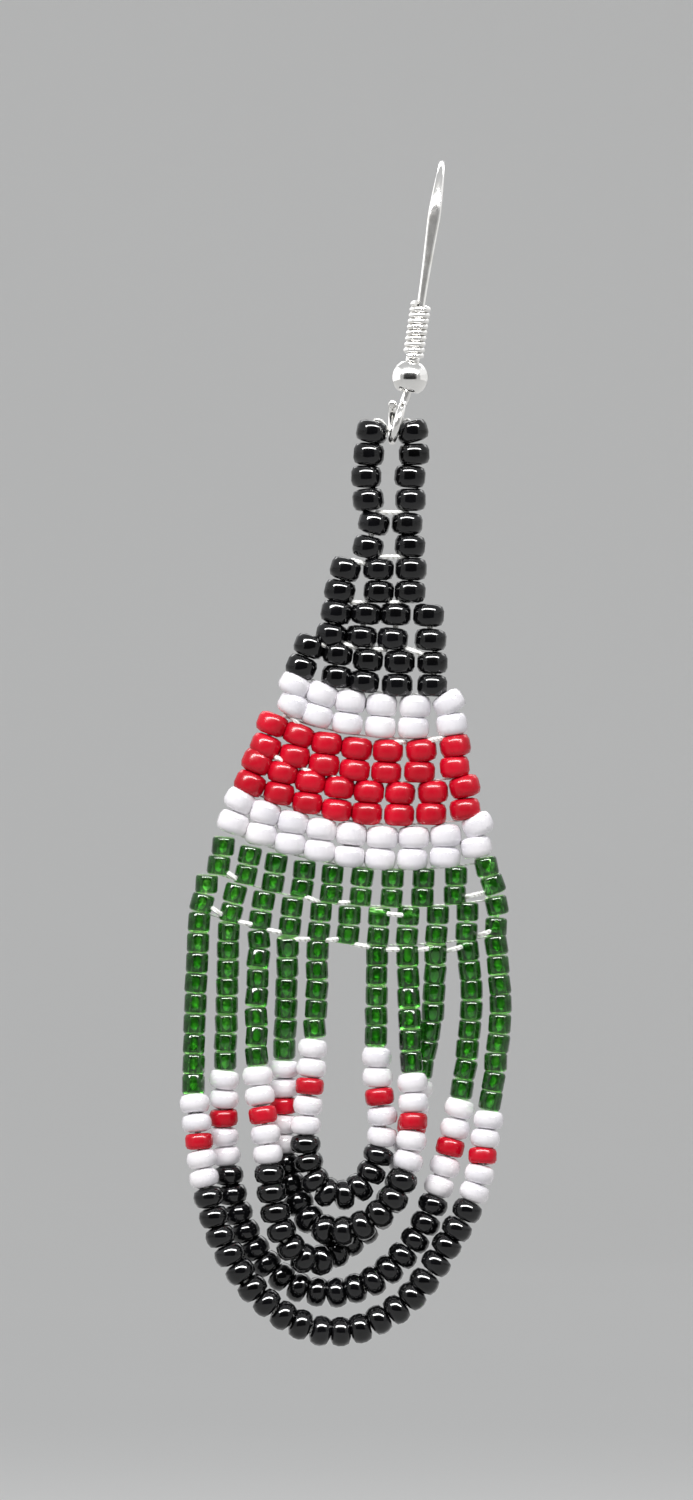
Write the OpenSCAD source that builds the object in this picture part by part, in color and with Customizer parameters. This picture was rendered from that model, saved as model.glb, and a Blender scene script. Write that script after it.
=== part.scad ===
// Beaded drop earring: a fish-hook ear wire with a coil and a ball, a woven bead panel and a looped bead fringe.
// Lengths are in millimetres. +Z is up, +X is to the right seen from the front, and -Y faces the front.
// The origin is the inner top of the ear wire's bend, where the bend sits in the piercing.

/* [Ear wire] */
// Thickness of the round wire
wire_d = 0.65; // [0.5:0.05:0.7]
// Width of the flattened stretch, seen from the front
blade_w = 1.0; // [0.7:0.05:1.2]
// Thickness of the flattened stretch, seen from the side
blade_t = 0.45; // [0.35:0.05:0.6]
// Inner diameter of the bend over the ear lobe
bend_d = 8.2; // [7:0.2:10]
// Length of the rear leg below the bend
rear_leg_l = 11.5; // [8:0.5:14]
// Angle by which the rear leg flares away from the ear
rear_flare = 16; // [5:1:25]
// Angle by which the hook leans to the right, seen from the front
hook_lean = 8.5; // [6:0.5:10]
// Mean radius of the eye that holds the drop
eye_r = 1.4; // [1.3:0.05:1.45]

/* [Coil and ball] */
// Diameter of the ball
ball_d = 2.8; // [2.7:0.1:3]
// Height of the ball between its flat ends
ball_h = 2.3; // [2.2:0.1:2.4]
// Distance from the inner top of the bend to the middle of the ball
ball_drop = 16.4; // [16.3:0.1:16.6]
// Outer diameter of the coil
coil_d = 1.7; // [1.65:0.05:1.9]
// Number of turns in the coil
coil_turns = 10; // [8:1:11]
// Thickness of the coil's wire
coil_wire = 0.45; // [0.4:0.01:0.46]

/* [Beads] */
// Diameter of the opaque beads
bead_d = 2.3; // [2.1:0.05:2.3]
// Diameter of the green beads
green_d = 1.85; // [1.7:0.05:2]
// Length of an opaque bead in the panel, with its share of the thread
panel_bead_l = 1.66; // [1.6:0.01:1.68]
// Length of a green bead
green_bead_l = 1.45; // [1.4:0.01:1.5]
// Length of a black bead in the fringe
fringe_bead_l = 1.49; // [1.45:0.01:1.55]
// Length of a white bead in the fringe
white_bead_l = 1.5; // [1.45:0.01:1.55]
// Length of a red bead in the fringe
red_bead_l = 1.36; // [1.2:0.01:1.5]
// Thickness of the woven rows' thread core
core_t = 1.2; // [0.8:0.1:1.6]
// Thickness of the bundle of thread that lies in the eye
bundle_d = 0.6; // [0.4:0.05:0.6]

/* [Hidden] */

piece_gap = 0.05;
wire_r = wire_d / 2;
bore_r = wire_r + piece_gap;
bend_mid_r = bend_d / 2 + wire_r;
front_y = -bend_mid_r;
bend_z = -bend_d / 2;

// The drop hangs on the bundle of thread, whose middle is the swing's axis.
swing_x = -3.8;
swing_z = -20.4;
tie_d = 0.2;
tie_knee = [0.3, 1];
tie_end = [1.35, 1.15];
bundle_reach = 0.3;
bundle_flat = 0.05;

// Stacks of the loop: x of each bead and its lean to the right, from the top down
loop_top_z = -19.5;
STACK_X = 0;
STACK_LEAN = 1;
left_stack = [[-5.35, 12], [-5.6, 6], [-5.8, 0], [-5.65, -6]];
right_stack = [[-2.25, -12], [-2.1, -3], [-2.45, 4], [-2.4, 0]];
bead_lap = 0.1;

// The eye's lowest point is set from the bundle that lies in it, and turned into the hook's own frame.
eye_x = swing_x;
eye_z = swing_z - bundle_d / 2 - piece_gap - wire_r;
eye_hook_x = eye_x * cos(hook_lean) - eye_z * sin(hook_lean);
eye_hook_z = eye_x * sin(hook_lean) + eye_z * cos(hook_lean);
eye_side_step = wire_d + 0.1;
eye_tilt = asin(eye_side_step / 2 / (2 * eye_r));
eye_top_z = eye_hook_z + 2 * eye_r * cos(eye_tilt);
eye_end_angle = 196;

ball_bore_r = 0.5;
ball_z = -ball_drop;
ball_flat = ball_h / 2;
coil_neck_l = 0.2;
coil_neck_r = 0.55;
coil_z = ball_z + ball_flat + piece_gap + coil_neck_l;
coil_l = coil_turns * coil_wire;
coil_top_z = coil_z + coil_l;

// Rows of the panel from the top down. Each row is a bowed line of columns, two beads high.
// Columns: x and z of the row's left end, of its middle and of its right end, and which bead it is made of.
ROW_LEFT = 0;
ROW_MIDDLE = 2;
ROW_RIGHT = 4;
ROW_BEAD = 6;
OPAQUE = 0;
GREEN = 1;
rows = [
    [ -5.4, -28.3,  -3.9, -28.3, -2.4, -28.3, OPAQUE],
    [ -7.6, -31.8,  -4.9, -31.8, -2.4, -31.8, OPAQUE],
    [ -8.4, -35.1,  -4.8, -35.3, -0.9, -35.4, OPAQUE],
    [-10.4, -37.6,  -5.8, -38.6, -0.6, -38.9, OPAQUE],
    [-11.6, -40.7,  -5.9, -42.1,  0.6, -42.2, OPAQUE],
    [-13.2, -43.6,  -6.6, -45.5,  1.0, -45.4, OPAQUE],
    [-14.4, -46.4,  -6.8, -48.7,  1.8, -48.6, OPAQUE],
    [-15.8, -49.5,  -7.0, -52.1,  2.8, -51.9, OPAQUE],
    [-16.9, -52.9,  -7.3, -55.2,  3.6, -54.9, GREEN],
    [-18.2, -55.8,  -7.1, -58.2,  4.2, -57.6, GREEN],
];
first_row_columns = 2;
lean_left = 14;
lean_right = 3;
row_gap = 0.16;
row_lap = 0.9;
edge_round = 0.3;

// Fringe loops from the outermost to the innermost: green beads on each side, black beads at the bottom, and how far
// the beads of the tip have slipped down the thread on the left and on the right.
LOOP_GREEN = 0;
LOOP_BLACK = 1;
LOOP_LEFT_SLIP = 2;
LOOP_RIGHT_SLIP = 3;
loops = [[9, 20, 0.2, -0.4], [8, 17, -0.5, 0.4], [7, 13, 0, 0.1], [6, 10, 0, 0.3], [5, 8, 0, 0.4]];
tip_whites = 4;
foot_gap = 0.15;
ring_sides = 8;
leg_spacing = 6;
bend_spacing = 2.6;
curve_steps = 8;
joint_lap = 0.3;
end_swell = 1.04;
tip_r = bead_d / 2;
black_r = tip_r - 0.03;
red_r = tip_r + 0.02;

// Routes of the loops between their two columns, from left to right: x, depth y and z of each point.
loop_routes = [
    [[-19, -0.4, -68], [-18.7, -1, -74], [-17.1, -1.1, -81.7], [-13.4, -0.9, -87.2], [-8.2, -0.4, -89.5],
     [-3, -0.3, -87.4], [0.1, -0.5, -83.2], [2.4, -0.7, -79], [3.5, -0.5, -73.5], [4.5, -0.2, -65]],
    [[-16.6, 0.4, -68], [-16.6, 0.9, -76], [-15, 1.1, -82], [-12, 1.2, -85.5], [-8.4, 0.9, -86.5],
     [-4.4, 0.4, -85], [-1.3, 0.5, -81.2], [0.2, 0.6, -76.8], [1.4, 0.6, -72], [2.3, 0.3, -64]],
    [[-14.2, -0.6, -68.5], [-13.5, -1, -74], [-12.9, -1.1, -79.5], [-11.6, -0.8, -83], [-9.4, 0.3, -84.1],
     [-7.3, 1.6, -82.8], [-5.2, 1.8, -81], [-3.5, 1.8, -78.8], [-2.7, 1.7, -75.8], [-1.9, 1.5, -71.2],
     [-0.7, 0.8, -65]],
    [[-12, 0.8, -66], [-12.1, 1.4, -72], [-11.9, 1.4, -77], [-10.4, 0.6, -80.6], [-7.9, -0.7, -81.8],
     [-5, -0.9, -80.6], [-3.2, -1, -78.2], [-2.2, -1.1, -74], [-2.4, -0.6, -67]],
    [[-9.7, -0.2, -65], [-10.1, -0.3, -70.5], [-10.5, -0.4, -75], [-9.7, -0.4, -78], [-7.6, 0.2, -79.1],
     [-5.5, 0.5, -77.4], [-4.5, 0.2, -74], [-5, 0, -69]],
];

// Vectors and curves

function unit(v) = v / norm(v);

// Point at share t of the parabola through a at 0, b at one half and c at 1
function bow(a, b, c, t) = a + (c - a) * t + (a + c - 2 * b) * (2 * t * t - 2 * t);

// Point at share t of the smooth curve from b to c, with a before and d after
function smooth(a, b, c, d, t) =
    (2 * b + (c - a) * t + (2 * a - 5 * b + 4 * c - d) * t * t + (3 * b - a - 3 * c + d) * t * t * t) / 2;

function before(p, i) = i > 0 ? p[i - 1] : 2 * p[0] - p[1];
function after(p, i) = i + 2 < len(p) ? p[i + 2] : 2 * p[i + 1] - p[i];

function curve(p) = [
    for (i = [0:len(p) - 2], s = [0:curve_steps - 1])
        smooth(before(p, i), p[i], p[i + 1], after(p, i), s / curve_steps),
    p[len(p) - 1]
];

// Distance run along a line at each of its points
function runs(line) = [
    for (i = 0, run = 0; i < len(line); i = i + 1,
         run = i < len(line) ? run + norm(line[i] - line[i - 1]) : run) run
];

function place_at(line, run, d) = [
    for (axis = [0:2]) lookup(d, [for (i = [0:len(line) - 1]) [run[i], line[i][axis]]])
];

function heading_at(line, run, d) =
    unit(place_at(line, run, min(d + 0.2, run[len(run) - 1])) - place_at(line, run, max(d - 0.2, 0)));

// Rings of a tube around a line that stays near the plane of the panel
function ring(centre, heading, r) =
    let (side = unit(cross(heading, [0, 1, 0])), depth = cross(heading, side))
    [for (j = [0:ring_sides - 1])
        centre + r * (cos(360 * (j + 0.5) / ring_sides) * side + sin(360 * (j + 0.5) / ring_sides) * depth)];

// Closed skin over a list of rings with the same number of points
module skin(rings) {
    n = len(rings[0]);
    m = len(rings);
    polyhedron(
        points = [for (r = rings, p = r) p],
        faces = concat(
            [[for (j = [0:n - 1]) j]],
            [for (i = [0:m - 2], j = [0:n - 1])
                [i * n + j, (i + 1) * n + j, (i + 1) * n + (j + 1) % n, i * n + (j + 1) % n]],
            [[for (j = [n - 1:-1:0]) (m - 1) * n + j]]
        ),
        convexity = 8
    );
}

// Round rod from a to b, with ends rounded by balls a little wider than the rod
module rod(a, b, r) {
    run = b - a;
    translate(a) sphere(r = r * end_swell, $fn = 48);
    translate(b) sphere(r = r * end_swell, $fn = 48);
    translate(a)
        rotate([0, acos(run[2] / norm(run)), atan2(run[1], run[0])])
            cylinder(r = r, h = norm(run), $fn = 48);
}

// Ear wire, coil and ball, in the hook's own upright frame

module in_hook_frame() {
    rotate([0, hook_lean, 0]) children();
}

arc_steps = 12;
rear_steps = 5;
rear_turn_r = rear_leg_l / (rear_flare * PI / 180);
hook_sides = 16;

// Share of flattening at a turn of the bend past the front leg
blade_end_turn = 60;
function flatness(turn) = turn < blade_end_turn ? pow(cos(90 * turn / blade_end_turn), 2) : 0;

// Stations of the hook above the coil: y, z, the angle of its outward normal, and its share of flattening
front_stations = [
    for (s = [0, 0.15, 0.4, 0.7, 1])
        [front_y, coil_top_z + 0.1 + s * (bend_z - coil_top_z - 0.1), 180, pow(s, 1.5)]
];
bend_stations = [
    for (i = [1:arc_steps])
        let (turn = 180 * i / arc_steps, a = 180 - turn)
        [bend_mid_r * cos(a), bend_z + bend_mid_r * sin(a), a, flatness(turn)]
];
rear_stations = [
    for (i = [1:rear_steps])
        let (a = rear_flare * i / rear_steps)
        [bend_mid_r + rear_turn_r * (1 - cos(a)), bend_z - rear_turn_r * sin(a), a, 0]
];

function hook_ring(station, size) =
    let (w = size * (wire_d + (blade_w - wire_d) * station[3]) / 2,
         t = size * (wire_d + (blade_t - wire_d) * station[3]) / 2)
    [for (j = [0:hook_sides - 1])
        let (a = 360 * j / hook_sides)
        [w * cos(a),
         station[0] + t * sin(a) * cos(station[2]),
         station[1] + t * sin(a) * sin(station[2])]];

module hook_shaft() {
    stations = concat(front_stations, bend_stations, rear_stations);
    last = len(stations) - 1;
    rings = [for (i = [0:last]) hook_ring(stations[i], i == 0 ? 0.9 : 1)];
    skin([for (i = [last:-1:0]) rings[i]]);
}

// Half of the eye from its lowest point, on the rear side or the front side
module eye_half(start, sweep, tilt) {
    translate([eye_hook_x, front_y, eye_hook_z])
        rotate([0, tilt, 0])
            translate([0, 0, eye_r])
                rotate([0, 90, 0])
                    rotate_extrude(angle = sweep, start = start, $fn = 48)
                        translate([eye_r, 0]) circle(r = wire_r, $fn = 32);
}

module ear_wire() {
    color("silver") in_hook_frame() {
        hook_shaft();
        translate([0, front_y, ball_z - ball_flat])
            cylinder(r = wire_r, h = coil_top_z + 0.5 - ball_z + ball_flat, $fn = 32);
        rod([0, front_y, ball_z - ball_flat],
            [eye_hook_x + eye_side_step / 2, front_y, eye_top_z], wire_r);
        eye_half(180, 180, eye_tilt);
        eye_half(0, eye_end_angle, -eye_tilt);
    }
}

module wire_coil() {
    color("silver") in_hook_frame() translate([0, front_y, coil_z])
        rotate_extrude($fn = 48) {
            translate([bore_r, -coil_neck_l]) square([coil_neck_r - bore_r, coil_neck_l + coil_wire / 2]);
            translate([bore_r, 0]) square([coil_d / 2 - coil_wire / 2 - bore_r, coil_l]);
            for (i = [0:coil_turns - 1])
                translate([coil_d / 2 - coil_wire / 2, (i + 0.5) * coil_wire])
                    circle(d = coil_wire * 1.04, $fn = 24);
        }
}

module wire_ball() {
    color("silver") in_hook_frame() translate([0, front_y, ball_z])
        difference() {
            intersection() {
                sphere(d = ball_d, $fn = 96);
                cylinder(r = ball_d, h = ball_h, center = true, $fn = 32);
            }
            cylinder(r = ball_bore_r, h = ball_d + 1, center = true, $fn = 32);
        }
}

// Bead loop that hangs in the eye

module loop_thread() {
    color("white") translate([swing_x, front_y, swing_z]) {
        rotate([0, 90, 0]) rotate_extrude($fn = 48)
            polygon([[0, -bundle_reach], [tie_d / 2, -bundle_reach], [bundle_d / 2, -bundle_flat],
                     [bundle_d / 2, bundle_flat], [tie_d / 2, bundle_reach], [0, bundle_reach]]);
        for (side = [-1, 1]) {
            rod([0, 0, 0], [side * tie_knee[0], 0, tie_knee[1]], tie_d / 2);
            rod([side * tie_knee[0], 0, tie_knee[1]], [side * tie_end[0], 0, tie_end[1]], tie_d / 2);
        }
    }
}

// Column of beads around an upright axis, with its edges rounded off
module column(r, h) {
    rotate_extrude($fn = 32)
        polygon([[0, -h / 2], [r - edge_round, -h / 2], [r, edge_round - h / 2],
                 [r, h / 2 - edge_round], [r - edge_round, h / 2], [0, h / 2]]);
}

module top_loop() {
    bottom_z = rows[0][ROW_LEFT + 1] + panel_bead_l + row_gap;
    pitch = (loop_top_z - bottom_z) / len(left_stack);
    color("black")
        for (stack = [left_stack, right_stack], i = [0:len(left_stack) - 1])
            translate([stack[i][STACK_X], front_y, loop_top_z - pitch * (i + 0.5)])
                rotate([0, stack[i][STACK_LEAN], 0]) column(bead_d / 2, pitch + bead_lap);
}

// Woven rows

function row_point(row, t) = [
    bow(row[ROW_LEFT], row[ROW_MIDDLE], row[ROW_RIGHT], t),
    bow(row[ROW_LEFT + 1], row[ROW_MIDDLE + 1], row[ROW_RIGHT + 1], t)
];
function lean(t) = lean_left * (1 - t) * (1 - t) + lean_right * t;
function lean_up(t) = [sin(lean(t)), cos(lean(t))];
function columns(k) = first_row_columns + k;
function row_half(row) = (row[ROW_BEAD] == GREEN ? green_bead_l : panel_bead_l) - row_gap / 2;
function row_bead_r(row) = (row[ROW_BEAD] == GREEN ? green_d : bead_d) / 2;

// Flat core of one row, which reaches down into the next row by lap
module row_core(k, lap) {
    row = rows[k];
    high = row_half(row) - edge_round;
    shares = [for (i = [0:columns(k) - 1]) i / (columns(k) - 1)];
    rotate([90, 0, 0]) linear_extrude(core_t, center = true)
        polygon(concat(
            [for (t = shares) row_point(row, t) + high * lean_up(t)],
            [for (i = [len(shares) - 1:-1:0])
                row_point(row, shares[i]) - (high + lap) * lean_up(shares[i])]
        ));
}

// Rows first to last of the panel, woven into one piece
module woven_rows(first, last) {
    translate([0, front_y, 0])
        for (k = [first:last]) {
            row_core(k, k < last ? row_lap : 0);
            for (i = [0:columns(k) - 1])
                let (t = i / (columns(k) - 1), p = row_point(rows[k], t))
                translate([p[0], 0, p[1]])
                    rotate([0, lean(t), 0])
                        column(row_bead_r(rows[k]), 2 * row_half(rows[k]));
        }
}

module black_rows() { color("black") woven_rows(0, 3); }
module upper_white_row() { color("white") woven_rows(4, 4); }
module red_rows() { color("crimson") woven_rows(5, 6); }
module lower_white_row() { color("white") woven_rows(7, 7); }
module green_rows() { color("green") woven_rows(8, 9); }

// Fringe

// Foot of a column of the last row, where a string leaves it
function foot(i) =
    let (row = rows[len(rows) - 1], t = i / (columns(len(rows) - 1) - 1),
         p = row_point(row, t) - (green_bead_l + foot_gap) * lean_up(t))
    [p[0], 0, p[1]];

// Tube along one stretch of a string
module string_tube(line, run, from, to, r, spacing = leg_spacing) {
    steps = max(1, round((to - from) / spacing));
    skin([for (i = [0:steps])
        let (d = from + (to - from) * i / steps)
        ring(place_at(line, run, d), heading_at(line, run, d), r)]);
}

// Tip of a string: white beads with a red one in the middle
module string_tip(line, run, from, to, red_l) {
    middle = (from + to) / 2;
    color("white") string_tube(line, run, from, to, tip_r);
    color("crimson") string_tube(line, run, middle - red_l / 2, middle + red_l / 2, red_r);
}

module fringe_loop(k) {
    line = curve(concat([foot(k)], loop_routes[k], [foot(columns(len(rows) - 1) - 1 - k)]));
    run = runs(line);
    whole = run[len(run) - 1];
    green_l = loops[k][LOOP_GREEN] * green_bead_l;
    tip_l = tip_whites * white_bead_l + red_bead_l;
    black_l = loops[k][LOOP_BLACK] * fringe_bead_l;
    stretch = whole / (2 * green_l + 2 * tip_l + black_l);
    left_top = green_l * stretch + loops[k][LOOP_LEFT_SLIP];
    left_end = left_top + tip_l * stretch;
    right_top = whole - green_l * stretch - loops[k][LOOP_RIGHT_SLIP];
    right_end = right_top - tip_l * stretch;
    translate([0, front_y, 0]) {
        color("green") string_tube(line, run, 0, left_top + joint_lap, green_d / 2);
        string_tip(line, run, left_top, left_end, red_bead_l * stretch);
        color("black")
            string_tube(line, run, left_end - joint_lap, right_end + joint_lap, black_r, bend_spacing);
        string_tip(line, run, right_end, right_top, red_bead_l * stretch);
        color("green") string_tube(line, run, right_top - joint_lap, whole, green_d / 2);
    }
}

ear_wire();
wire_coil();
wire_ball();
loop_thread();
top_loop();
black_rows();
upper_white_row();
red_rows();
lower_white_row();
green_rows();
fringe_loop(0);  // fringe_loop_1
fringe_loop(1);  // fringe_loop_2
fringe_loop(2);  // fringe_loop_3
fringe_loop(3);  // fringe_loop_4
fringe_loop(4);  // fringe_loop_5
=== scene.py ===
"""Beaded drop earring: glass seed beads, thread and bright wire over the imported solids.

Everything is modelled in millimetres about the origin of the part, and is brought to metres when a piece is
finished.
"""

import math
import random

import bmesh
import bpy
from mathutils import Matrix, Vector


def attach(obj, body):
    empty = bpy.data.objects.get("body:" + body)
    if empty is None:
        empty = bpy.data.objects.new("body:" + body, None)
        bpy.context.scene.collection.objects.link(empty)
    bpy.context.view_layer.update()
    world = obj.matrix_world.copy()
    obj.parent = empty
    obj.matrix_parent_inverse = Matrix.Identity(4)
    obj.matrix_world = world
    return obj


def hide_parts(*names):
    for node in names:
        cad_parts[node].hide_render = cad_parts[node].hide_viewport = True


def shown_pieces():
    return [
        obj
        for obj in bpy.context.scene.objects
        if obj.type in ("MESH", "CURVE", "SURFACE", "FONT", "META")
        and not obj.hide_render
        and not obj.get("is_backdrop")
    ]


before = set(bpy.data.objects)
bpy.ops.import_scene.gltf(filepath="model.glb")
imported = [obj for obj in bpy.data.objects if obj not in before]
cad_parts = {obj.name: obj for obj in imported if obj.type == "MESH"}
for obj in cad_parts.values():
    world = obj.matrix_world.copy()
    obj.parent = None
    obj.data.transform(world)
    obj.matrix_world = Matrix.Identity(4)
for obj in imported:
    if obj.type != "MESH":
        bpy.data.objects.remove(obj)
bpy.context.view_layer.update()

MM = 0.001

# Gap between pieces that touch in the real earring
PIECE_GAP = 0.05

# Ear wire, in the hook's own upright frame, as the solids have it. The lean, the flare and the ends of the
# eye are in degrees, and the start of the coil is in radians.
HOOK_LEAN = 8.5
WIRE_R = 0.325
BLADE_W = 1.0
BLADE_T = 0.45
BEND_INNER_R = 4.1
BEND_R = BEND_INNER_R + WIRE_R
FRONT_Y = -BEND_R
BEND_Z = -BEND_INNER_R
BLADE_END_TURN = math.radians(60)
REAR_LEG = 11.5
REAR_FLARE = 16
BALL_R = 1.4
BALL_BORE_R = 0.5
BALL_Z = -16.4
BALL_FLAT = 1.15
BALL_ROLL = 0.07
COIL_R = 0.85
COIL_WIRE = 0.45
COIL_TURNS = 10
COIL_START = -2.2
COIL_SIDES = 10
COIL_STEPS = 28
NECK_R = 0.55
NECK_HOLE_R = 0.4
NECK_LENGTH = 0.2
NECK_ROLL = 0.06
COIL_Z = BALL_Z + BALL_FLAT + PIECE_GAP + NECK_LENGTH

# The wound wire is a hair thinner than its pitch, so that no two turns share a face.
COIL_WIRE_R = COIL_WIRE * 0.495
COIL_TOP_Z = COIL_Z + COIL_TURNS * COIL_WIRE
BLADE_ABOVE_COIL = 0.1
BLADE_START_Z = COIL_TOP_Z + BLADE_ABOVE_COIL
EYE_R = 1.4
EYE_SIDE_STEP = 0.75
EYE_START = 8
EYE_END = 376

# Sections of wire along each stretch of the hook
REAR_SECTIONS = 8
BEND_SECTIONS = 36
BLADE_SECTIONS = 10
EYE_SECTIONS = 47

# Height above the ball's lower end at which the stem starts to turn towards the eye
STEM_TURN = 0.35

# How far the cut end reaches past the eye's last section, and its share of the wire's radius there
CUT_END = [(0.05, 0.93), (0.08, 0.8)]

# Where the drop hangs in the eye
SWING = Vector((-3.8, FRONT_Y, -20.4))
BUNDLE_R = 0.3

# Stacks of the loop under the eye, which stand on the first row: x of each bead and its lean to the right,
# from the top down
LOOP_TOP_Z = -19.5
LOOP_BOTTOM_Z = -26.48
STACKS = [
    [(-5.35, 12), (-5.6, 6), (-5.8, 0), (-5.65, -6)],
    [(-2.25, -12), (-2.1, -3), (-2.45, 4), (-2.4, 0)],
]

# Length of each bead in the fringe
FRINGE_PITCH = {"green": 1.45, "black": 1.49, "white": 1.5, "red": 1.36}

# Holes of the beads, and how true the strung beads are: the spread of their width, of their length and of
# their place
HOLE_R = 0.42
GREEN_HOLE_R = 0.34
WIDTH_SPREAD = (0.975, 1.015)
LENGTH_SPREAD = (0.96, 1.02)
PLACE_SPREAD = 0.02

# Radius of a strand in the eye, of the thread that fills a bead's hole, of a stitch behind the beads and of
# one that shows, and how far these two lie behind and before the middle of the beads
STRAND_R = 0.099
HOLE_THREAD_R = 0.24
HIDDEN_R = 0.07
STITCH_R = 0.2
HIDDEN_BACK = 0.5
HIDDEN_SWAY = 0.05
STITCH_OUT = 0.6

# How far inside the ends of a column its thread ends, the stitches behind it leave it and a fringe string
# starts
THREAD_INSET = 0.03
STITCH_INSET = 0.08
STRING_INSET = 0.01

# Length of one section of the threads through the fringe
THREAD_STEP = 0.9

# The strands' way from one stack down to the middle of the eye: x and z from the axis of the swing. The other
# half mirrors it. The two outer strands ride a little higher on the wire.
STRAND_WAY = [
    (-1.5, 0.1), (-1.4, 0.76), (-1.28, 0.92), (-1.05, 0.92), (-0.78, 0.8), (-0.5, 0.45), (-0.28, 0.1),
]
STRAND_LOW = -0.04
STRAND_SPACING = 0.16
STRAND_RISE = 0.1

# Rows of the panel: x and z of the left end, the middle and the right end, the colour, and the height of a
# bead with its share of the thread
ROWS = [
    ((-5.4, -28.3), (-3.9, -28.3), (-2.4, -28.3), "black", 1.72),
    ((-7.6, -31.8), (-4.9, -31.8), (-2.4, -31.8), "black", 1.76),
    ((-8.4, -35.1), (-4.8, -35.3), (-0.9, -35.4), "black", 1.72),
    ((-10.4, -37.6), (-5.8, -38.6), (-0.6, -38.9), "black", 1.72),
    ((-11.6, -40.7), (-5.9, -42.1), (0.6, -42.2), "white", 1.68),
    ((-13.2, -43.6), (-6.6, -45.5), (1.0, -45.4), "red", 1.66),
    ((-14.4, -46.4), (-6.8, -48.7), (1.8, -48.6), "red", 1.66),
    ((-15.8, -49.5), (-7.0, -52.1), (2.8, -51.9), "white", 1.68),
    ((-16.9, -52.9), (-7.3, -55.2), (3.6, -54.9), "green", 1.5),
    ((-18.2, -55.8), (-7.1, -58.2), (4.2, -57.6), "green", 1.5),
]
LEAN_LEFT = 14
LEAN_RIGHT = 3

# Beads that the thread has pulled askew, by row, column, and upper or lower bead: extra lean in degrees, and
# how far the bead is moved in x and z
UPPER = 1
LOWER = -1
ASKEW = {
    (0, 1, UPPER): (0, -0.33, 0), (0, 0, LOWER): (0, -0.08, -0.15), (1, 1, LOWER): (0, 0.15, 0),
    (2, 0, UPPER): (0, 0.12, 0), (2, 1, UPPER): (0, 0.08, 0.05), (2, 2, UPPER): (0, -0.06, 0.1),
    (2, 3, UPPER): (0, -0.15, 0.05), (2, 0, LOWER): (0, 0.12, 0), (2, 2, LOWER): (0, -0.2, -0.1),
    (2, 3, LOWER): (0, 0.12, -0.1),
    (3, 0, UPPER): (6, 0.05, -0.08), (3, 1, UPPER): (0, 0.08, -0.08), (3, 2, UPPER): (0, 0.1, -0.12),
    (3, 3, UPPER): (0, 0, -0.06), (3, 4, UPPER): (0, -0.12, -0.08), (3, 0, LOWER): (8, -0.15, 0),
    (3, 1, LOWER): (0, 0.3, -0.15), (3, 2, LOWER): (0, -0.08, -0.08), (3, 3, LOWER): (0, -0.08, -0.12),
    (3, 4, LOWER): (0, -0.08, -0.1),
    (4, 0, UPPER): (22, 0.12, 0.05), (4, 0, LOWER): (12, 0.4, 0.15), (4, 1, UPPER): (10, 0.1, 0.1),
    (4, 1, LOWER): (8, 0, 0.1), (4, 4, UPPER): (-4, 0, 0), (4, 5, UPPER): (-34, -0.1, 0.15),
    (4, 5, LOWER): (-12, 0.2, 0.2),
    (5, 0, UPPER): (10, 0, 0), (5, 0, LOWER): (8, -0.1, -0.1), (5, 1, UPPER): (8, 0, 0),
    (5, 6, UPPER): (-14, 0, 0.1), (5, 6, LOWER): (-10, 0, 0.1), (5, 5, UPPER): (-8, 0, 0),
    (6, 0, UPPER): (12, 0, -0.1), (6, 0, LOWER): (10, -0.1, -0.15), (6, 6, UPPER): (-8, 0, 0),
    (6, 7, UPPER): (-18, -0.1, 0.15), (6, 7, LOWER): (-12, 0, 0.1),
    (7, 0, UPPER): (14, 0.1, 0), (7, 0, LOWER): (10, 0, -0.1), (7, 1, UPPER): (8, 0, 0),
    (7, 8, UPPER): (-30, -0.1, 0.5), (7, 8, LOWER): (-14, -0.1, 0.5), (7, 7, UPPER): (-6, 0, 0),
    (8, 0, UPPER): (-8, 0, 0), (8, 0, LOWER): (-8, 0, 0), (8, 9, UPPER): (-16, -0.2, 0.4),
    (8, 9, LOWER): (-22, 0.4, 0.5),
    (9, 0, UPPER): (-8, 0, 0), (9, 10, UPPER): (-14, 0, 0.1),
}

# Stitches that lie to the front between two columns: x and z of their ends
SHOWN_STITCHES = [
    ((-4.5, -26.6), (-3.1, -26.6)), ((-4.5, -30.0), (-3.1, -30.0)), ((-6.6, -30.3), (-6.0, -30.5)),
    ((-6.7, -33.5), (-6.1, -33.5)), ((-3.9, -33.5), (-3.3, -33.5)), ((-9.5, -36.6), (-8.9, -36.8)),
    ((-7.4, -36.7), (-6.7, -36.9)), ((-5.1, -37.1), (-4.5, -37.1)), ((-2.5, -37.1), (-1.3, -37.5)),
    ((-11.4, -42.4), (-10.9, -42.9)), ((-3.7, -44.2), (-3.0, -44.2)), ((-1.0, -44.1), (0.0, -43.9)),
    ((-12.8, -45.3), (-12.1, -45.7)), ((-10.6, -46.3), (-10.0, -46.5)), ((-8.4, -46.9), (-8.0, -47.0)),
    ((-16.3, -54.3), (-15.7, -54.7)), ((-10.8, -55.9), (-9.6, -56.4)), ((-7.9, -56.5), (-7.2, -56.5)),
    ((-4.6, -57.3), (-2.6, -57.5)), ((2.1, -56.0), (3.0, -55.8)), ((-17.5, -57.0), (-16.9, -57.4)),
    ((-15.4, -58.0), (-14.4, -58.2)), ((-13.3, -58.6), (-12.3, -58.8)), ((-11.2, -59.3), (-10.2, -59.3)),
    ((-8.8, -59.4), (-8.0, -59.3)), ((-6.6, -59.7), (-5.6, -59.9)), ((-4.1, -60.1), (-3.2, -60.1)),
    ((-1.6, -60.1), (-0.9, -60.0)), ((0.8, -60.1), (1.8, -59.8)), ((3.2, -58.9), (4.0, -58.6)),
]

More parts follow.
